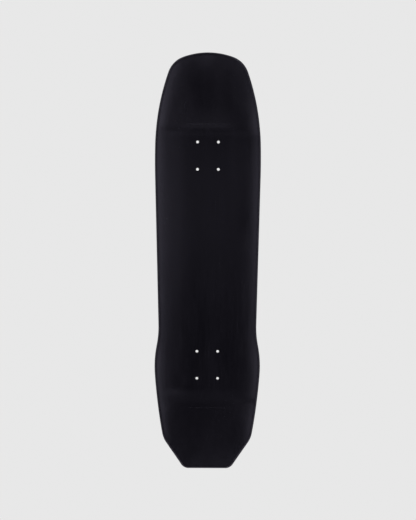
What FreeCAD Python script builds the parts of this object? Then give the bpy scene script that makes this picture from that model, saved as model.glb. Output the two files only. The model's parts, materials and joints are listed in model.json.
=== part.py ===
import FreeCAD, Part

import math
import os

import Sketcher
from FreeCAD import Vector

# Skateboard deck: seven maple veneers pressed over a curved mould, cut to one outline, drilled for
# two trucks and rounded over along the rim. Millimetres. +X is across the deck, +Y runs to the nose
# and +Z points up from the face that the rider stands on. The origin is midway between the two truck
# patterns, on the flat underside.

# The driving dimensions. Lengths are in millimetres and turns and angles are in degrees.
SIZES = [
    ("ply_thickness", 1.5),
    # the mould's cross-section: a flat strip under the trucks, and an arc up to each rail
    ("flat_half_width", 26.0),
    ("concave_radius", 330.0),
    ("blank_half_angle", 16.5),
    # the mould's side profile: a flat, and at each end a bend and then a kick that curves up gently
    ("nose_bend_start", 246.9),
    ("nose_bend_radius", 100.0),
    ("nose_bend_turn", 15.0),
    ("nose_kick_radius", 800.0),
    ("nose_kick_turn", 11.5),
    ("tail_bend_start", 250.9),
    ("tail_bend_radius", 136.0),
    ("tail_bend_turn", 16.0),
    ("tail_kick_radius", 900.0),
    ("tail_kick_turn", 9.5),
    # the truck bolts
    ("wheelbase", 361.95),
    ("bolt_spacing_across", 41.275),
    ("bolt_spacing_along", 53.975),
    ("bolt_hole_diameter", 5.6),
    ("countersink_diameter", 7.6),
    ("countersink_angle", 90.0),
    # the outline, from the nose's tip along one side to the tail: a chain of arcs and lines, each
    # tangent to the one before it
    ("deck_length", 812.8),
    ("tip_radius", 146.0),
    ("tip_half_turn", 19.5),
    ("nose_corner_radius", 48.0),
    ("nose_corner_turn", 50.3),
    ("nose_flank_radius", 435.0),
    ("nose_flank_turn", 18.9),
    ("shoulder_radius", 1350.0),
    ("shoulder_turn", 2.7),
    ("waist_radius", 193.0),
    ("waist_turn", 12.4),
    ("bulge_radius", 217.0),
    ("bulge_turn", 14.8),
    ("tail_flank_radius", 869.0),
    ("tail_flank_turn", 7.7),
    ("tail_corner_radius", 48.0),
    ("tail_corner_turn", 24.8),
    ("tail_cut_length", 50.0),
    ("end_corner_radius", 18.0),
    # a rectangle larger than the pressed blank
    ("trim_width", 320.0),
    ("trim_length", 900.0),
    # the round-over along the rim, on both faces
    ("rim_radius", 3.5),
]

# The veneers from the underside up. In two of them the grain runs across the deck.
PLIES = [
    "bottom_face_veneer",
    "lower_crossband_veneer",
    "lower_core_veneer",
    "centre_core_veneer",
    "upper_core_veneer",
    "upper_crossband_veneer",
    "top_face_veneer",
]

# Numbers that Sketcher gives to the origin and the points of a piece of geometry
ORIGIN = (-1, 1)
START, END, CENTRE = 1, 2, 3
# Points closer than this count as touching, in millimetres
TOUCHING = 0.001

doc = FreeCAD.newDocument("skateboard_deck")
sheet = doc.addObject("Spreadsheet::Sheet", "sizes")
size = {}
for row, (alias, value) in enumerate(SIZES, start=1):
    sheet.set(f"A{row}", alias)
    sheet.set(f"B{row}", str(value))
    sheet.setAlias(f"B{row}", alias)
    size[alias] = value
doc.recompute()


def plane(body, role):
    """One of a body's own origin planes."""
    return next(f for f in body.Origin.OriginFeatures if f.Role == role)


def new_sketch(body, name, role):
    sketch = body.newObject("Sketcher::SketchObject", name)
    sketch.AttachmentSupport = (plane(body, role), [""])
    sketch.MapMode = "FlatFace"
    return sketch


def dimension(sketch, kind, *where, value, cells, unit="mm"):
    """Adds a dimension that follows an expression in the sheet's cells."""
    index = sketch.addConstraint(Sketcher.Constraint(kind, *where, value))
    sketch.setExpression(f"Constraints[{index}]", f"({cells}) * 1 {unit}")


def place(sketch, point, x, y, x_cells, y_cells):
    """Pins a point of the sketch to two signed distances from the origin."""
    dimension(sketch, "DistanceX", *ORIGIN, *point, value=x, cells=x_cells)
    dimension(sketch, "DistanceY", *ORIGIN, *point, value=y, cells=y_cells)


def join(sketch, *points):
    for first, second in zip(points, points[1:]):
        sketch.addConstraint(Sketcher.Constraint("Coincident", *first, *second))


def arc(centre, radius, start_degrees, end_degrees):
    circle = Part.Circle(centre, Vector(0, 0, 1), radius)
    return Part.ArcOfCircle(circle, math.radians(start_degrees), math.radians(end_degrees))


def side_profile(body, name):
    """The underside's centreline in the YZ plane: a flat, and at each end a bend and then a kick."""
    sketch = new_sketch(body, name, "YZ_Plane")
    flat_start = Vector(-size["tail_bend_start"], 0, 0)
    flat_end = Vector(size["nose_bend_start"], 0, 0)
    flat = sketch.addGeometry(Part.LineSegment(flat_start, flat_end))
    place(sketch, (flat, START), flat_start.x, 0, "-sizes.tail_bend_start", "0")
    place(sketch, (flat, END), flat_end.x, 0, "sizes.nose_bend_start", "0")
    for end, sign, previous in (("nose", 1, (flat, END)), ("tail", -1, (flat, START))):
        near, far = (START, END) if sign > 0 else (END, START)
        turned = 0.0
        for stretch in ("bend", "kick"):
            radius = size[f"{end}_{stretch}_radius"]
            turn = size[f"{end}_{stretch}_turn"]
            tilt = math.radians(turned)
            inward = Vector(-sign * math.sin(tilt), math.cos(tilt), 0)
            centre = sketch.getPoint(*previous) + inward * radius
            first, last = -90 + sign * turned, -90 + sign * (turned + turn)
            curve = sketch.addGeometry(arc(centre, radius, min(first, last), max(first, last)))
            sketch.addConstraint(Sketcher.Constraint("Tangent", *previous, curve, near))
            dimension(sketch, "Radius", curve, value=radius, cells=f"sizes.{end}_{stretch}_radius")
            dimension(sketch, "Angle", curve, value=math.radians(turn),
                      cells=f"sizes.{end}_{stretch}_turn", unit="deg")
            previous = (curve, far)
            turned += turn
    return sketch


def band_section(body, name, lower, upper):
    """The cross-section of the veneers from number lower to number upper, counted from the underside:
    a flat strip in the middle, and at each side a band between two arcs about one centre."""
    sketch = new_sketch(body, name, "XZ_Plane")
    half = size["flat_half_width"]
    rise = size["concave_radius"]
    sweep = size["blank_half_angle"]
    thickness = size["ply_thickness"]
    levels = []
    for level in (lower, upper):
        height = level * thickness
        cells = f"{level} * sizes.ply_thickness"
        radius_cells = f"sizes.concave_radius - {cells}"
        strip = sketch.addGeometry(Part.LineSegment(Vector(-half, height, 0), Vector(half, height, 0)))
        place(sketch, (strip, START), -half, height, "-sizes.flat_half_width", cells)
        place(sketch, (strip, END), half, height, "sizes.flat_half_width", cells)
        radius = rise - height
        right = sketch.addGeometry(arc(Vector(half, rise, 0), radius, -90, -90 + sweep))
        left = sketch.addGeometry(arc(Vector(-half, rise, 0), radius, -90 - sweep, -90))
        for band, meets, strip_point in ((right, START, END), (left, END, START)):
            sketch.addConstraint(Sketcher.Constraint("Tangent", strip, strip_point, band, meets))
            dimension(sketch, "Radius", band, value=radius, cells=radius_cells)
            dimension(sketch, "Angle", band, value=math.radians(sweep),
                      cells="sizes.blank_half_angle", unit="deg")
        levels.append((right, left))
    (low_right, low_left), (high_right, high_left) = levels
    for low, high, point in ((low_right, high_right, END), (low_left, high_left, START)):
        side = Part.LineSegment(sketch.getPoint(low, point), sketch.getPoint(high, point))
        edge = sketch.addGeometry(side)
        join(sketch, (low, point), (edge, START))
        join(sketch, (high, point), (edge, END))
    return sketch


def pressed_band(name, lower, upper):
    """A pressed and untrimmed band of veneers, as a body."""
    body = doc.addObject("PartDesign::Body", name)
    path = side_profile(body, f"{name}_path")
    section = band_section(body, f"{name}_section", lower, upper)
    pipe = body.newObject("PartDesign::AdditivePipe", f"{name}_pipe")
    pipe.Profile = section
    pipe.Spine = path
    doc.recompute()
    return body


# One side's outline after the tip: the shape of each stretch. A line has a length, and an arc has a
# radius and a turn. "out" arcs bulge out and "in" arcs hollow the side.
OUTLINE = [
    ("out", "nose_corner"),
    ("out", "nose_flank"),
    ("out", "shoulder"),
    ("line", "taper"),
    ("in", "waist"),
    ("out", "bulge"),
    ("out", "tail_flank"),
    ("out", "tail_corner"),
    ("line", "tail_cut"),
    ("out", "end_corner"),
]


def end_corner_turn():
    """The turn left for the last corner, which ends square to the deck's length, and its cells."""
    turn = 180.0 - size["tip_half_turn"]
    cells = "180 - sizes.tip_half_turn"
    for kind, name in OUTLINE[:-1]:
        if kind != "line":
            turn -= size[f"{name}_turn"] * (1 if kind == "out" else -1)
            cells += (" - " if kind == "out" else " + ") + f"sizes.{name}_turn"
    return turn, cells


def taper_length():
    """The length of the side's straight taper, which takes up what the other stretches leave."""
    heading = math.radians(size["tip_half_turn"])
    radius = size["tip_radius"]
    drop = radius * (1 - math.cos(heading))
    for kind, name in OUTLINE:
        if name == "taper":
            taper_heading = heading
        elif kind == "line":
            drop += size[f"{name}_length"] * math.sin(heading)
        else:
            radius = size[f"{name}_radius"] * (1 if kind == "out" else -1)
            turn = end_corner_turn()[0] if name == "end_corner" else size[f"{name}_turn"]
            end = heading + math.radians(turn) * (1 if kind == "out" else -1)
            drop += radius * (math.cos(heading) - math.cos(end))
            heading = end
    return (size["deck_length"] - drop) / math.sin(taper_heading)


def outline_line(sketch, side, name, at, heading):
    """Adds a straight stretch of the outline, and returns it with its first and last points. Only the
    taper has no dimension of its own."""
    length = taper_length() if name == "taper" else size[f"{name}_length"]
    angle = math.radians(heading)
    step = Vector(math.cos(angle) * side, -math.sin(angle), 0) * length
    line = sketch.addGeometry(Part.LineSegment(at, at + step))
    if name != "taper":
        dimension(sketch, "Distance", line, value=length, cells=f"sizes.{name}_length")
    return line, START, END


def outline_arc(sketch, side, name, at, heading, bends_out, turn, turn_cells):
    """Adds a curved stretch of the outline, and returns it with its first and last points."""
    radius = size[f"{name}_radius"]
    # the outward normal at the arc's start, as an angle from +X on the +X side
    normal = 90 - heading
    outward = Vector(math.cos(math.radians(normal)) * side, math.sin(math.radians(normal)), 0)
    if bends_out:
        centre = at - outward * radius
        first, last = normal, normal - turn
    else:
        centre = at + outward * radius
        first, last = normal + 180, normal + 180 + turn
    if side < 0:
        first, last = 180 - first, 180 - last
    curve = sketch.addGeometry(arc(centre, radius, min(first, last), max(first, last)))
    dimension(sketch, "Radius", curve, value=radius, cells=f"sizes.{name}_radius")
    dimension(sketch, "Angle", curve, value=math.radians(turn), cells=turn_cells, unit="deg")
    if first < last:
        return curve, START, END
    return curve, END, START


def outline_side(sketch, side, tip):
    """Draws one side of the outline from the tip arc to the tail's end, and returns its last point.
    side is 1 for +X and -1 for -X. The heading is how far the outline has turned down from +X."""
    heading = size["tip_half_turn"]
    half_length = size["deck_length"] / 2
    previous = (tip, START if side > 0 else END)
    for kind, name in OUTLINE:
        at = sketch.getPoint(*previous)
        if kind == "line":
            piece, first, last = outline_line(sketch, side, name, at, heading)
        else:
            turn, cells = size.get(f"{name}_turn"), f"sizes.{name}_turn"
            if name == "end_corner":
                turn, cells = end_corner_turn()
            bends_out = kind == "out"
            piece, first, last = outline_arc(sketch, side, name, at, heading, bends_out, turn, cells)
            heading += turn if bends_out else -turn
        sketch.addConstraint(Sketcher.Constraint("Tangent", *previous, piece, first))
        previous = (piece, last)
    dimension(sketch, "DistanceY", *ORIGIN, *previous, value=-half_length,
              cells="-sizes.deck_length / 2")
    return previous


def draw_outline(sketch):
    """The deck's closed outline, on both sides of the Y axis."""
    radius = size["tip_radius"]
    turn = size["tip_half_turn"]
    centre = Vector(0, size["deck_length"] / 2 - radius, 0)
    tip = sketch.addGeometry(arc(centre, radius, 90 - turn, 90 + turn))
    place(sketch, (tip, CENTRE), 0, centre.y, "0", "sizes.deck_length / 2 - sizes.tip_radius")
    dimension(sketch, "Radius", tip, value=radius, cells="sizes.tip_radius")
    dimension(sketch, "Angle", tip, value=math.radians(2 * turn),
              cells="2 * sizes.tip_half_turn", unit="deg")
    sketch.addConstraint(Sketcher.Constraint("Horizontal", tip, START, tip, END))
    right = outline_side(sketch, 1, tip)
    left = outline_side(sketch, -1, tip)
    closing = Part.LineSegment(sketch.getPoint(*right), sketch.getPoint(*left))
    end = sketch.addGeometry(closing)
    join(sketch, right, (end, START))
    join(sketch, left, (end, END))


def trim_sketch(body):
    """The outline inside a rectangle larger than the pressed blank: what the cutter removes."""
    sketch = new_sketch(body, "trim", "XY_Plane")
    half_width = size["trim_width"] / 2
    half_length = size["trim_length"] / 2
    corners = [Vector(x * half_width, y * half_length, 0) for x, y in ((-1, -1), (1, -1), (1, 1), (-1, 1))]
    lines = [
        sketch.addGeometry(Part.LineSegment(a, b))
        for a, b in zip(corners, corners[1:] + corners[:1])
    ]
    for line, following in zip(lines, lines[1:] + lines[:1]):
        join(sketch, (line, END), (following, START))
    for i, line in enumerate(lines):
        sketch.addConstraint(Sketcher.Constraint("Vertical" if i % 2 else "Horizontal", line))
    place(sketch, (lines[0], START), -half_width, -half_length,
          "-sizes.trim_width / 2", "-sizes.trim_length / 2")
    place(sketch, (lines[2], START), half_width, half_length,
          "sizes.trim_width / 2", "sizes.trim_length / 2")
    draw_outline(sketch)
    return sketch


def bolt_sketch(body):
    """The eight bolt holes' rims, on the top face's flat strip."""
    sketch = new_sketch(body, "bolt_circles", "XY_Plane")
    top = f"{len(PLIES)} * sizes.ply_thickness * 1 mm"
    sketch.setExpression("AttachmentOffset.Base.z", top)
    radius = size["bolt_hole_diameter"] / 2
    x = size["bolt_spacing_across"] / 2
    inner = size["wheelbase"] / 2
    for across in (-1, 1):
        for along in (-1, 1):
            for is_outer in (0, 1):
                y = inner + is_outer * size["bolt_spacing_along"]
                centre = Vector(across * x, along * y, 0)
                hole = sketch.addGeometry(Part.Circle(centre, Vector(0, 0, 1), radius))
                dimension(sketch, "Radius", hole, value=radius, cells="sizes.bolt_hole_diameter / 2")
                place(sketch, (hole, CENTRE), centre.x, centre.y,
                      f"{across} * sizes.bolt_spacing_across / 2",
                      f"{along} * (sizes.wheelbase / 2 + {is_outer} * sizes.bolt_spacing_along)")
    return sketch


def outline_wire(trim):
    """The inner one of the trim sketch's two wires."""
    return min(trim.Shape.Wires, key=lambda wire: wire.BoundBox.XLength)


def rim_edges(shape, outline):
    """The names of the edges where the outline's wall meets the top face or the underside."""
    names = []
    for number, edge in enumerate(shape.Edges, start=1):
        first, last = edge.Vertexes[0].Point, edge.Vertexes[-1].Point
        middle = edge.valueAt((edge.FirstParameter + edge.LastParameter) / 2)
        upright = math.hypot(first.x - last.x, first.y - last.y) < TOUCHING
        gap = outline.distToShape(Part.Vertex(middle.x, middle.y, 0))[0]
        if not upright and gap < TOUCHING:
            names.append(f"Edge{number}")
    return names


def shaped_deck():
    """All seven veneers as one body: pressed, trimmed, drilled from the top and rounded over."""
    body = pressed_band("shaped_deck", 0, len(PLIES))
    trim = trim_sketch(body)
    trimmed = body.newObject("PartDesign::Pocket", "trimmed")
    trimmed.Profile = trim
    trimmed.Type = "ThroughAll"
    trimmed.Midplane = True
    doc.recompute()
    circles = bolt_sketch(body)
    drilled = body.newObject("PartDesign::Hole", "drilled")
    drilled.Profile = circles
    doc.recompute()
    drilled.DepthType = "ThroughAll"
    drilled.Threaded = False
    drilled.ThreadType = "None"
    drilled.HoleCutType = "Countersink"
    drilled.HoleCutCustomValues = True
    drilled.setExpression("Diameter", "sizes.bolt_hole_diameter * 1 mm")
    drilled.setExpression("HoleCutDiameter", "sizes.countersink_diameter * 1 mm")
    drilled.setExpression("HoleCutCountersinkAngle", "sizes.countersink_angle * 1 deg")
    doc.recompute()
    rounded = body.newObject("PartDesign::Fillet", "rounded")
    rounded.Base = (drilled, rim_edges(drilled.Shape, outline_wire(trim)))
    rounded.setExpression("Radius", "sizes.rim_radius * 1 mm")
    doc.recompute()
    return body


def ply(number, name, deck):
    """One veneer: the part of the shaped deck that lies between two glue lines."""
    band = pressed_band(f"{name}_blank", number, number + 1)
    veneer = doc.addObject("Part::Common", name)
    veneer.Label = name
    veneer.Base = deck
    veneer.Tool = band
    return veneer


deck = shaped_deck()
veneers = [ply(number, name, deck) for number, name in enumerate(PLIES)]
doc.recompute()

for item in doc.Objects:
    for problem in ("Invalid", "Error"):
        if problem in item.State:
            raise RuntimeError(f"{item.Label}: {problem}")

os.makedirs("parts", exist_ok=True)
for veneer in veneers:
    if veneer.Shape.isNull() or not veneer.Shape.isValid():
        raise RuntimeError(f"{veneer.Label}: the shape is not valid")
    veneer.Shape.exportStep(f"parts/{veneer.Label}.step")
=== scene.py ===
import json
import math

import bpy
import numpy as np
from mathutils import Matrix, Vector
from mathutils.geometry import delaunay_2d_cdt


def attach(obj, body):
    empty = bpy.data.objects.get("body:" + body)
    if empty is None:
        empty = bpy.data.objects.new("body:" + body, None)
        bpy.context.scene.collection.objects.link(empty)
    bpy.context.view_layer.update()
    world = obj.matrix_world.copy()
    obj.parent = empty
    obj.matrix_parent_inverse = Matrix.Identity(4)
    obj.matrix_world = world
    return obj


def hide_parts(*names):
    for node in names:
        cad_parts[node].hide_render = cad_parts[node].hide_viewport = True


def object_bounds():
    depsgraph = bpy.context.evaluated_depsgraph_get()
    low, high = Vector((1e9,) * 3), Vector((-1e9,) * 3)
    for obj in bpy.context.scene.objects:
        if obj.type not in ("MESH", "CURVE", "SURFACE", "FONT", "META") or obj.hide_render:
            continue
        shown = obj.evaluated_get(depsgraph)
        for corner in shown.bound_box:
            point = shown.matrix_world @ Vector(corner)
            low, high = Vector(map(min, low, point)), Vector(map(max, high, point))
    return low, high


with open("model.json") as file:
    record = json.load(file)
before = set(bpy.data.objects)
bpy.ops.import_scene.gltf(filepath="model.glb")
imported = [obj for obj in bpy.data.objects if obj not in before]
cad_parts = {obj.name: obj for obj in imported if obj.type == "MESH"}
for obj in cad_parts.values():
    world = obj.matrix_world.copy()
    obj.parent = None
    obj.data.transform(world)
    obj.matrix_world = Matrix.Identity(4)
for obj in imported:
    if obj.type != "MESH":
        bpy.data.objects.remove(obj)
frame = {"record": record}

cad_low, cad_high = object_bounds()
MM = 0.001

# The pressed shape, in millimetres, as it is in the CAD model
PLY = 1.5
FLAT_HALF_WIDTH = 26.0
CONCAVE_RADIUS = 330.0
# each end: where its bend starts along the deck, the bend's radius and turn at the underside, and
# the radius of the kick beyond it
NOSE = (246.9, 100.0, math.radians(15.0), 800.0)
TAIL = (250.9, 136.0, math.radians(16.0), 900.0)
RIM_RADIUS = 3.5
COUNTERSINK_RADIUS = 3.8
COUNTERSINK_DEPTH = 1.0
HALF_LENGTH = (cad_high.y - cad_low.y) / 2 / MM
# the outline from the nose's tip along the +X side to the tail: radius and turn of each arc, where a
# negative radius hollows the side, and a length alone for a straight stretch
TIP = (146.0, 19.5)
BEFORE_TAPER = [(48.0, 50.3), (435.0, 18.9), (1350.0, 2.7)]
AFTER_TAPER = [(-193.0, 12.4), (217.0, 14.8), (869.0, 7.7), (48.0, 24.8), 50.0]
END_CORNER_RADIUS = 18.0

# How fine the meshes are, in millimetres and degrees
ARC_STEP = 3.0
ARC_TURN_STEP = 3.0
STRAIGHT_STEP = 4.0
GRID_STEP = 4.5
BEND_ROW_STEP = 2.0
FACE_RIM_STEPS, INNER_RIM_STEPS = 10, 5
HOLE_SEGMENTS = 40

# The veneers from the underside up: the CAD node, the piece that shows, and its material slot
PLIES = [
    ("bottom_face_veneer", "bottom_face_ply", "underside_lacquer"),
    ("lower_crossband_veneer", "lower_crossband_ply", "crossband_edge"),
    ("lower_core_veneer", "lower_core_ply", "core_edge"),
    ("centre_core_veneer", "centre_core_ply", "core_edge"),
    ("upper_core_veneer", "upper_core_ply", "core_edge"),
    ("upper_crossband_veneer", "upper_crossband_ply", "crossband_edge"),
    ("top_face_veneer", "top_face_ply", "top_lacquer"),
]
THICKNESS = PLY * len(PLIES)


# ---------------------------------------------------------------- the pressed surface

def bend(along, rise, end):
    """Height at a distance along the deck from its middle, for a line that lies at the given rise."""
    start, radius, turn, kick_radius = end
    past = along - start
    bend_length = (radius - rise) * math.sin(turn)
    on_bend = np.clip(past, 0, bend_length)
    curved = radius - np.sqrt((radius - rise) ** 2 - on_bend ** 2)
    centre_along = (radius - kick_radius) * math.sin(turn)
    centre_height = radius + (kick_radius - radius) * math.cos(turn)
    on_kick = np.maximum(past, bend_length) - centre_along
    kicked = centre_height - np.sqrt((kick_radius - rise) ** 2 - on_kick ** 2)
    return np.where(past < bend_length, curved, kicked)


def height(x, y, layer):
    """Height of the surface that is the given distance above the underside through the board."""
    across = np.maximum(np.abs(x) - FLAT_HALF_WIDTH, 0)
    rise = CONCAVE_RADIUS - np.sqrt((CONCAVE_RADIUS - layer) ** 2 - across ** 2)
    return np.where(y >= 0, bend(y, rise, NOSE), bend(-y, rise, TAIL))


# ---------------------------------------------------------------- the outline

def taper_length(end_turn):
    """Length of the straight taper, which takes up what the arcs leave of the deck's length."""
    heading = math.radians(TIP[1])
    drop = TIP[0] * (1 - math.cos(heading))
    for stretch in BEFORE_TAPER + ["taper"] + AFTER_TAPER + [(END_CORNER_RADIUS, end_turn)]:
        if stretch == "taper":
            taper_heading = heading
        elif isinstance(stretch, float):
            drop += stretch * math.sin(heading)
        else:
            radius, turn = stretch
            end = heading + math.copysign(math.radians(turn), radius)
            drop += radius * (math.cos(heading) - math.cos(end))
            heading = end
    return (2 * HALF_LENGTH - drop) / math.sin(taper_heading)


def outline():
    """The outline's points and outward normals, closed, clockwise from the middle of the nose."""
    turns = [math.copysign(s[1], s[0]) for s in BEFORE_TAPER + AFTER_TAPER if isinstance(s, tuple)]
    end_turn = 180 - TIP[1] - sum(turns)
    stretches = [TIP] + BEFORE_TAPER + [taper_length(end_turn)] + AFTER_TAPER
    stretches.append((END_CORNER_RADIUS, end_turn))
    at, heading = np.array([0.0, HALF_LENGTH]), 0.0
    points, normals = [at], [np.array([0.0, 1.0])]
    for stretch in stretches:
        normal = np.array([math.sin(heading), math.cos(heading)])
        if isinstance(stretch, tuple):
            radius, turn = stretch[0], math.radians(stretch[1])
            centre = at - normal * radius
            steps = max(abs(radius) * turn / ARC_STEP, math.degrees(turn) / ARC_TURN_STEP)
            count = max(4, math.ceil(steps))
            for step in range(1, count + 1):
                angle = heading + math.copysign(turn * step / count, radius)
                normal = np.array([math.sin(angle), math.cos(angle)])
                points.append(centre + normal * radius)
                normals.append(normal)
            heading = angle
        else:
            along = np.array([math.cos(heading), -math.sin(heading)])
            count = math.ceil(stretch / STRAIGHT_STEP)
            for step in range(1, count + 1):
                points.append(at + along * stretch * step / count)
                normals.append(normal)
        at = points[-1]
    end_count = math.ceil(at[0] / STRAIGHT_STEP)
    for step in range(1, end_count + 1):
        points.append(np.array([at[0] * (1 - step / end_count), at[1]]))
        normals.append(np.array([0.0, -1.0]))
    points, normals = np.array(points), np.array(normals)
    mirror = np.array([-1.0, 1.0])
    return (np.concatenate([points, points[-2:0:-1] * mirror]),
            np.concatenate([normals, normals[-2:0:-1] * mirror]))


POINTS, NORMALS = outline()
COUNT = len(POINTS)


class Rim:
    """The edge's profile at every outline point: a round-over up from the underside, a wall, and a
    round-over onto the top. A place on it is a number from 0, where the underside ends, to 3, where
    the top begins; 1 and 2 are the wall's ends."""

    REACH = 0.05
    ROUND_OVER_PASSES = 4
    GLUE_LINE_PASSES = 30

    def __init__(self):
        self.lower, self.lower_angle = self.round_over(0.0, -1)
        self.upper, self.upper_angle = self.round_over(THICKNESS, 1)

    def surface(self, inset, layer):
        """Height of a layer's surface at a distance in from the outline."""
        at = POINTS - NORMALS * np.reshape(inset, (-1, 1))
        return height(at[:, 0], at[:, 1], layer)

    def round_over(self, layer, side):
        """The arc's centre height, and the angle that it turns from the wall. The arc is tangent to
        the surface, whose slope is taken where the last pass put the tangent point."""
        inset = np.full(COUNT, RIM_RADIUS)
        for _ in range(self.ROUND_OVER_PASSES):
            outer, inner = (self.surface(inset + step, layer) for step in (-self.REACH, self.REACH))
            tilt = np.arctan((outer - inner) / (2 * self.REACH))
            inset = RIM_RADIUS * (1 + side * np.sin(tilt))
        centre = self.surface(inset, layer) - side * RIM_RADIUS * np.cos(tilt)
        return centre, math.pi / 2 + side * tilt

    def at(self, place):
        """Inset and height of a place on the profile, for every outline point."""
        low_turn = self.lower_angle * np.clip(1 - place, 0, 1)
        high_turn = self.upper_angle * np.clip(place - 2, 0, 1)
        turn = np.where(place < 1.5, low_turn, high_turn)
        inset = RIM_RADIUS * (1 - np.cos(turn))
        wall = self.lower + (self.upper - self.lower) * np.clip(place - 1, 0, 1)
        rise = RIM_RADIUS * (np.sin(high_turn) - np.sin(low_turn))
        return inset, wall + rise

    def glue_line(self, layer):
        """Where the profile crosses a layer's surface, found by halving."""
        if layer <= 0:
            return np.zeros(COUNT)
        if layer >= THICKNESS:
            return np.full(COUNT, 3.0)
        low, high = np.zeros(COUNT), np.full(COUNT, 3.0)
        for _ in range(self.GLUE_LINE_PASSES):
            middle = (low + high) / 2
            inset, z = self.at(middle)
            below = z < self.surface(inset, layer)
            low, high = np.where(below, middle, low), np.where(below, high, middle)
        return (low + high) / 2


rim = Rim()


# ---------------------------------------------------------------- the flat pattern of a face

# the pattern's outer ring lies this far inside the outline, and the grid keeps clear of the ring
INNER_INSET = 6.5
FENCE_INSET = 8.5
# two rings of points around each countersink, and how far from its edge the grid starts
HOLE_RING_GAP, FREE_RING_GAP, GRID_GAP = 0.5, 1.4, 3.0
# the bends, where the rows are closer together
FINE_ROWS = [(-300, -248), (244, 282)]


def hole_centres():
    centres = []
    for mount in frame["record"]["mounts"]:
        if mount["kind"] == "bolt_pattern":
            dims = mount["dims"]
            for sx in (-1, 1):
                for sy in (-1, 1):
                    centres.append((mount["pos_m"][0] / MM + sx * dims["spacing_x_mm"] / 2,
                                    mount["pos_m"][1] / MM + sy * dims["spacing_y_mm"] / 2))
    return centres


HOLES = hole_centres()
HOLE_RADIUS = frame["record"]["mounts"][0]["dims"]["hole_r_mm"]


def circle(centre, radius):
    angles = np.arange(HOLE_SEGMENTS) * 2 * math.pi / HOLE_SEGMENTS
    return np.stack([centre[0] + radius * np.cos(angles), centre[1] + radius * np.sin(angles)], axis=1)


def rows():
    """The rows of the pattern along the deck: closer together through the two bends."""
    y = -HALF_LENGTH
    found = []
    while y < HALF_LENGTH:
        found.append(y)
        in_bend = any(low < y < high for low, high in FINE_ROWS)
        y += BEND_ROW_STEP if in_bend else GRID_STEP
    return found


def pattern():
    """Triangles that fill the board inside its rim, around the holes. The first points are the inner
    ring's, and then each hole's."""
    ring = POINTS - NORMALS * INNER_INSET
    fence = POINTS - NORMALS * FENCE_INSET
    loops = [ring] + [circle(c, COUNTERSINK_RADIUS + HOLE_RING_GAP) for c in HOLES]
    free = [circle(c, COUNTERSINK_RADIUS + FREE_RING_GAP) for c in HOLES]
    keep_out = COUNTERSINK_RADIUS + GRID_GAP
    columns = math.ceil(max(POINTS[:, 0]) / GRID_STEP)
    grid = []
    for number, y in enumerate(rows()):
        crossings = []
        for (x0, y0), (x1, y1) in zip(fence, np.roll(fence, -1, axis=0)):
            if (y0 <= y) != (y1 <= y):
                crossings.append(x0 + (x1 - x0) * (y - y0) / (y1 - y0))
        if not crossings:
            continue
        reach = max(crossings)
        for column in range(-columns, columns + 1):
            x = (column + number % 2 / 2) * GRID_STEP
            clear = all(math.hypot(x - cx, y - cy) > keep_out for cx, cy in HOLES)
            if abs(x) < reach and clear:
                grid.append((x, y))
    coords = np.concatenate(loops + free + [np.array(grid)])
    edges, start = [], 0
    for loop in loops:
        count = len(loop)
        edges += [(start + i, start + (i + 1) % count) for i in range(count)]
        start += count
    verts, _, faces, origins, _, _ = delaunay_2d_cdt([Vector(c) for c in coords], edges, [], 2, 1e-5)
    order = np.full(len(verts), -1)
    for index, sources in enumerate(origins):
        order[index] = sources[0]
    triangles = []
    for face in faces:
        corners = [int(order[i]) for i in face]
        fills_hole = all(len(ring) <= i < start for i in corners)
        if not fills_hole:
            a, b, c = (coords[i] for i in corners)
            turn = (b[0] - a[0]) * (c[1] - a[1]) - (b[1] - a[1]) * (c[0] - a[0])
            triangles.append(corners if turn > 0 else corners[::-1])
    return coords, triangles


FLAT, TRIANGLES = pattern()


# ---------------------------------------------------------------- one veneer's mesh

class Mesh:
    def __init__(self):
        self.points = []
        self.faces = []
        self.count = 0

    def add(self, x, y, z):
        start = self.count
        self.points.append(np.stack([x, y, z], axis=1))
        self.count += len(x)
        return start

    def strip(self, first, second, count, flip=False):
        """Quads between two closed loops of points."""
        for i in range(count):
            j = (i + 1) % count
            face = [first + i, first + j, second + j, second + i]
            self.faces.append(face[::-1] if flip else face)


# the groove along each glue line: its half-width as a share of a veneer's edge, and its depth
GROOVE_SHARE = 0.08
GROOVE_DEPTH = 0.12


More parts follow.
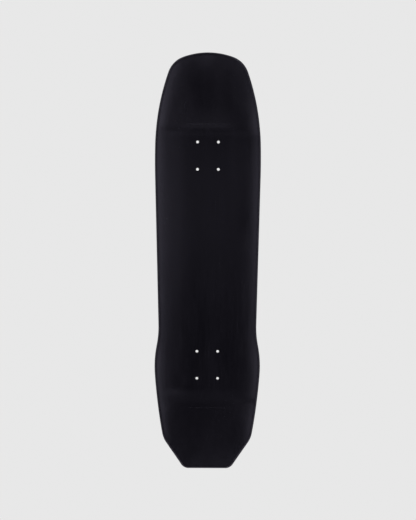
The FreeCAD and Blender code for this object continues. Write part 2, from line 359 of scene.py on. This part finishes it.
def ply_mesh(number):
    """A closed mesh of one veneer."""
    low, high = number * PLY, (number + 1) * PLY
    mesh = Mesh()
    x, y = FLAT[:, 0], FLAT[:, 1]
    under = mesh.add(x, y, height(x, y, low))
    over = mesh.add(x, y, height(x, y, high))
    mesh.faces += [[under + i for i in triangle[::-1]] for triangle in TRIANGLES]
    mesh.faces += [[over + i for i in triangle] for triangle in TRIANGLES]

    # the rim, from the lower surface's edge to the upper one's, with a groove at each glue line
    steps = FACE_RIM_STEPS if number in (0, len(PLIES) - 1) else INNER_RIM_STEPS
    first, last = rim.glue_line(low), rim.glue_line(high)
    shares = [0.0, GROOVE_SHARE] + [step / steps for step in range(1, steps)] + [1 - GROOVE_SHARE, 1.0]
    previous = under
    for share in shares:
        inset, z = rim.at(first + (last - first) * share)
        at_glue = (share == 0.0 and low > 0) or (share == 1.0 and high < THICKNESS)
        if at_glue:
            inset = inset + GROOVE_DEPTH
        at = POINTS - NORMALS * inset[:, None]
        ring = mesh.add(at[:, 0], at[:, 1], z)
        mesh.strip(previous, ring, COUNT, flip=True)
        previous = ring
    mesh.strip(previous, over, COUNT, flip=True)

    # the bolt holes
    start = COUNT
    for centre in HOLES:
        rings = [(HOLE_RADIUS, low), (HOLE_RADIUS, high)]
        if number == len(PLIES) - 1:
            rings = [(HOLE_RADIUS, low),
                     (HOLE_RADIUS, high - COUNTERSINK_DEPTH),
                     (COUNTERSINK_RADIUS, high)]
        previous = under + start
        for radius, z in rings:
            loop = circle(centre, radius)
            ring = mesh.add(loop[:, 0], loop[:, 1], np.full(HOLE_SEGMENTS, z))
            mesh.strip(previous, ring, HOLE_SEGMENTS, flip=True)
            previous = ring
        mesh.strip(previous, over + start, HOLE_SEGMENTS, flip=True)
        start += HOLE_SEGMENTS
    return np.concatenate(mesh.points) * MM, mesh.faces


def new_piece(number):
    node, name, slot = PLIES[number]
    points, faces = ply_mesh(number)
    data = bpy.data.meshes.new(name)
    data.from_pydata(points.tolist(), [], faces)
    data.validate()
    data.shade_smooth()
    data.set_sharp_from_angle(angle=math.radians(35))
    piece = bpy.data.objects.new(name, data)
    bpy.context.scene.collection.objects.link(piece)
    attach(piece, "root")
    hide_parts(node)
    return piece


pieces = [new_piece(number) for number in range(len(PLIES))]


# ---------------------------------------------------------------- materials

class Nodes:
    """A material's node tree, with short ways to add to it."""

    def __init__(self, name):
        self.material = bpy.data.materials.new(name)
        self.material.use_nodes = True
        self.tree = self.material.node_tree
        self.shader = self.tree.nodes["Principled BSDF"]

    def add(self, kind, **settings):
        node = self.tree.nodes.new(kind)
        for key, value in settings.items():
            if key in node.bl_rna.properties:
                setattr(node, key, value)
            else:
                node.inputs[key.replace("_", " ")].default_value = value
        return node

    def link(self, output, target):
        self.tree.links.new(output, target)

    def math(self, operation, *operands):
        """Arithmetic on outputs and plain numbers."""
        node = self.add("ShaderNodeMath", operation=operation)
        for socket, operand in zip(node.inputs, operands):
            if isinstance(operand, float):
                socket.default_value = operand
            else:
                self.link(operand, socket)
        return node.outputs["Value"]

    def remap(self, value, from_min, from_max, to_min, to_max):
        """A value moved from one range to another, and held at the new range's ends."""
        node = self.add("ShaderNodeMapRange")
        for socket, number in zip(node.inputs[1:5], (from_min, from_max, to_min, to_max)):
            socket.default_value = number
        self.link(value, node.inputs["Value"])
        return node.outputs["Result"]

    def blend(self, factor, colour, other):
        """The colour, turned into the other one where the factor is 1."""
        node = self.add("ShaderNodeMix", data_type="RGBA")
        self.link(factor, node.inputs[0])
        self.link(colour, node.inputs[6])
        node.inputs[7].default_value = (*other, 1)
        return node.outputs[2]


def grain_noise(nodes, place, grain_axis, across, along, detail=3.0):
    """Noise stretched along the grain, with its two scales in cycles per metre."""
    mapping = nodes.add("ShaderNodeMapping")
    scale = [across, across, across]
    scale[grain_axis] = along
    mapping.inputs["Scale"].default_value = scale
    nodes.link(place, mapping.inputs["Vector"])
    noise = nodes.add("ShaderNodeTexNoise", Scale=1.0, Detail=detail, Roughness=0.6)
    nodes.link(mapping.outputs["Vector"], noise.inputs["Vector"])
    return noise.outputs["Fac"]


def dust(nodes, place):
    """A mask of sparse specks, up to 1 mm across."""
    cells = nodes.add("ShaderNodeTexVoronoi", Scale=45.0, Randomness=1.0)
    nodes.link(place, cells.inputs["Vector"])
    radius = 0.0005 * 45.0
    return nodes.remap(cells.outputs["Distance"], radius, 0.6 * radius, 0.0, 1.0)


def painted_highlight_lines(nodes, place):
    """A mask of the two painted highlight lines across the top face, close to where each bend meets its
    kick.
    """
    axes = nodes.add("ShaderNodeSeparateXYZ")
    nodes.link(place, axes.inputs["Vector"])
    spots = nodes.add("ShaderNodeTexNoise", Scale=420.0, Detail=1.0)
    nodes.link(place, spots.inputs["Vector"])
    broken = nodes.remap(spots.outputs["Fac"], 0.42, 0.62, 0.1, 1.0)
    reach = nodes.math("ABSOLUTE", axes.outputs["X"])
    inside = nodes.remap(reach, 0.055, 0.035, 0.0, 1.0)
    lines = []
    for line, strength in ((NOSE_LINE, 0.75), (TAIL_LINE, 0.55)):
        away = nodes.math("ABSOLUTE", nodes.math("SUBTRACT", axes.outputs["Y"], line * MM))
        lines.append(nodes.remap(away, 0.0016, 0.0004, 0.0, strength))
    both = nodes.math("MAXIMUM", *lines)
    return nodes.math("MULTIPLY", nodes.math("MULTIPLY", both, inside), broken)


def lacquered_wood(name, grain_axis, tone, gloss, face=False):
    """Black lacquer over maple: the stain takes up the fibres and the growth bands unevenly, the
    fibres print through the film, and the film has a slight orange peel."""
    nodes = Nodes(name)
    place = nodes.add("ShaderNodeTexCoord").outputs["Object"]
    fibre = grain_noise(nodes, place, grain_axis, 900.0, 18.0, 4.0)
    bands = grain_noise(nodes, place, grain_axis, 70.0, 3.0)
    pores = grain_noise(nodes, place, grain_axis, 2600.0, 260.0, 1.0)
    smears = grain_noise(nodes, place, grain_axis, 22.0, 9.0)

    stain = nodes.math("ADD", nodes.math("MULTIPLY", fibre, 0.6), nodes.math("MULTIPLY", bands, 0.4))
    ramp = nodes.add("ShaderNodeValToRGB")
    ramp.color_ramp.elements[0].position = 0.32
    ramp.color_ramp.elements[0].color = tuple(0.78 * tone * c for c in STAIN) + (1,)
    ramp.color_ramp.elements[1].position = 0.68
    ramp.color_ramp.elements[1].color = tuple(1.22 * tone * c for c in STAIN) + (1,)
    nodes.link(stain, ramp.inputs["Fac"])
    colour = nodes.blend(dust(nodes, place), ramp.outputs["Color"], DUST)
    # on the top face, lighter lines are painted across the bends as a painted highlight where each bend
    # meets its kick
    if face:
        colour = nodes.blend(painted_highlight_lines(nodes, place), colour, BEND_HIGHLIGHT)
    nodes.link(colour, nodes.shader.inputs["Base Color"])

    film = nodes.math("ADD", nodes.remap(fibre, 0.3, 0.7, -0.035, 0.035),
                      nodes.remap(smears, 0.35, 0.65, gloss - 0.025, gloss + 0.025))
    nodes.link(film, nodes.shader.inputs["Roughness"])
    peel = nodes.add("ShaderNodeTexNoise", Scale=240.0, Detail=2.0)
    nodes.link(place, peel.inputs["Vector"])
    pits = nodes.remap(pores, 0.30, 0.36, 0.0, 1.0)
    relief = nodes.math("ADD", nodes.math("MULTIPLY", fibre, 0.5), nodes.math("MULTIPLY", pits, 0.35))
    relief = nodes.math("ADD", relief, nodes.math("MULTIPLY", peel.outputs["Fac"], 0.8))
    bump = nodes.add("ShaderNodeBump", Strength=0.25, Distance=0.00003)
    nodes.link(relief, bump.inputs["Height"])
    nodes.link(bump.outputs["Normal"], nodes.shader.inputs["Normal"])
    nodes.shader.inputs["Specular IOR Level"].default_value = 0.62
    nodes.shader.inputs["Specular Tint"].default_value = (*UNDERTONE, 1)
    return nodes.material


ACROSS, ALONG = 0, 1
# where the two painted highlight lines lie along the deck, in millimetres
NOSE_LINE, TAIL_LINE = 270.1, -292.5
STAIN = (0.0070, 0.0064, 0.0101)
# the violet cast that the black lacquer's reflections have
UNDERTONE = (0.82, 0.77, 1.0)
DUST = (0.10, 0.10, 0.11)
# the lighter colour of the two painted highlight lines across the bends
BEND_HIGHLIGHT = (0.024, 0.023, 0.030)
MATERIALS = {
    "top_lacquer": lacquered_wood("top_lacquer", ALONG, 1.0, 0.22, face=True),
    "underside_lacquer": lacquered_wood("underside_lacquer", ALONG, 1.0, 0.24),
    "core_edge": lacquered_wood("core_edge", ALONG, 1.15, 0.30),
    "crossband_edge": lacquered_wood("crossband_edge", ACROSS, 0.85, 0.38),
}
for piece, (_, _, slot) in zip(pieces, PLIES):
    piece.data.materials.append(MATERIALS[slot])


# ---------------------------------------------------------------- floor

PALE = 0.806


def floor():
    """An evenly lit floor, 8 metres square, a hair below the underside."""
    nodes = Nodes("floor")
    nodes.tree.nodes.remove(nodes.shader)
    glow = nodes.add("ShaderNodeEmission", Color=(PALE, PALE, PALE, 1), Strength=1.0)
    nodes.link(glow.outputs["Emission"], nodes.tree.nodes["Material Output"].inputs["Surface"])
    data = bpy.data.meshes.new("floor")
    corners = [(-4, -4, 0), (4, -4, 0), (4, 4, 0), (-4, 4, 0)]
    data.from_pydata(corners, [], [(0, 1, 2, 3)])
    data.materials.append(nodes.material)
    obj = bpy.data.objects.new("floor", data)
    obj.location.z = -0.0002
    bpy.context.scene.collection.objects.link(obj)


floor()


# ---------------------------------------------------------------- light

def softbox(name, location, target, size, radiance):
    """A rectangular light that faces the target. The camera doesn't see it, and reflections do."""
    light = bpy.data.lights.new(name, "AREA")
    light.shape = "RECTANGLE"
    light.size, light.size_y = size
    light.energy = radiance * math.pi * size[0] * size[1]
    obj = bpy.data.objects.new(name, light)
    bpy.context.scene.collection.objects.link(obj)
    obj.location = location
    direction = Vector(target) - Vector(location)
    obj.rotation_euler = direction.to_track_quat("-Z", "Y").to_euler()
    obj.visible_camera = False


softbox("left_softbox", (-1.49, -0.7, 2.4), (0, -0.78, 0), (2.2, 1.0), 1.0)
softbox("left_rear_softbox", (-1.42, 1.6, 2.4), (0, 1.55, 0), (1.4, 1.0), 1.3)
softbox("left_fill", (-0.26, 0.2, 1.5), (0, 0.2, 0), (0.22, 0.3), 0.09)
softbox("right_softbox", (1.45, 0.3, 2.4), (0, 0.3, 0), (4.4, 0.9), 1.25)
softbox("right_fill", (0.28, 0.05, 1.5), (0, 0.05, 0), (0.52, 0.34), 0.05)
softbox("far_right_fill", (2.2, 0.0, 8.0), (0, 0, 0), (1.6, 2.0), 0.19)
softbox("nose_softbox", (0, 1.64, 2.2), (0, 0, 0), (3.4, 0.34), 0.70)
softbox("tail_softbox", (0.3, -2.6, 1.95), (0, 0, 0), (3.2, 1.0), 1.3)
softbox("right_corner_softbox", (1.1, -1.8, 2.2), (0, 0, 0), (1.1, 0.8), 0.8)
softbox("left_corner_softbox", (-1.0, -2.15, 2.1), (0, 0, 0), (0.9, 0.6), 1.3)
softbox("overhead_fill", (0.0, 0.09, 1.5), (0, 0.09, 0), (0.5, 0.42), 0.062)
softbox("far_overhead_fill", (0.0, 0.1, 8.0), (0, 0.1, 0), (3.2, 1.0), 0.07)
softbox("tail_strip", (0.3, -2.8, 7.4), (0, 0, 0), (2.2, 1.7), 0.25)

# Low softboxes far out on three sides, which the faces reflect only towards a low camera. The tail
# softbox stands on the fourth side.
LOW_DISTANCE = 3.4
LOW_HEIGHT = 1.9

for side, x, y in (("nose", 0, 1), ("left", -1, 0), ("right", 1, 0)):
    place = (x * LOW_DISTANCE, y * LOW_DISTANCE, LOW_HEIGHT)
    softbox(f"low_{side}_softbox", place, (0, 0, 0), (5.6, 1.9), 0.27)


WALLS = 0.010


def studio():
    """Dim walls around the object, and a backdrop as pale as the floor where the camera sees past it."""
    world = bpy.data.worlds.new("studio")
    world.use_nodes = True
    tree = world.node_tree
    walls = tree.nodes["Background"]
    walls.inputs["Color"].default_value = (1, 1, 1, 1)
    walls.inputs["Strength"].default_value = WALLS
    backdrop = tree.nodes.new("ShaderNodeBackground")
    backdrop.inputs["Color"].default_value = (PALE, PALE, PALE, 1)
    rays = tree.nodes.new("ShaderNodeLightPath")
    mix = tree.nodes.new("ShaderNodeMixShader")
    tree.links.new(rays.outputs["Is Camera Ray"], mix.inputs["Fac"])
    tree.links.new(walls.outputs["Background"], mix.inputs[1])
    tree.links.new(backdrop.outputs["Background"], mix.inputs[2])
    tree.links.new(mix.outputs["Shader"], tree.nodes["World Output"].inputs["Surface"])
    bpy.context.scene.world = world


studio()


# ---------------------------------------------------------------- camera

DISTANCE = 2.9
ASIDE = (0.0008, 0.0008)


def camera():
    """The photograph's view, nearly square onto the top face: the camera is 2.9 m off, tilted 2.5
    degrees towards the nose and rolled 0.2 degrees."""
    tilt, roll = math.radians(2.5), math.radians(0.2)
    back = Vector((0, math.sin(tilt), math.cos(tilt)))
    up = Vector((0, math.cos(tilt), -math.sin(tilt)))
    right = Vector((1, 0, 0))
    turned_right = right * math.cos(roll) + up * math.sin(roll)
    turned_up = up * math.cos(roll) - right * math.sin(roll)
    data = bpy.data.cameras.new("camera")
    data.sensor_fit = "VERTICAL"
    data.sensor_height = 36.0
    data.lens = 100.8
    obj = bpy.data.objects.new("camera", data)
    location = Vector((*ASIDE, 0)) + back * DISTANCE
    obj.matrix_world = Matrix((
        (turned_right.x, turned_up.x, back.x, location.x),
        (turned_right.y, turned_up.y, back.y, location.y),
        (turned_right.z, turned_up.z, back.z, location.z),
        (0, 0, 0, 1),
    ))
    bpy.context.scene.collection.objects.link(obj)
    bpy.context.scene.camera = obj


camera()
bpy.context.scene.view_settings.view_transform = "Standard"

bpy.context.view_layer.update()
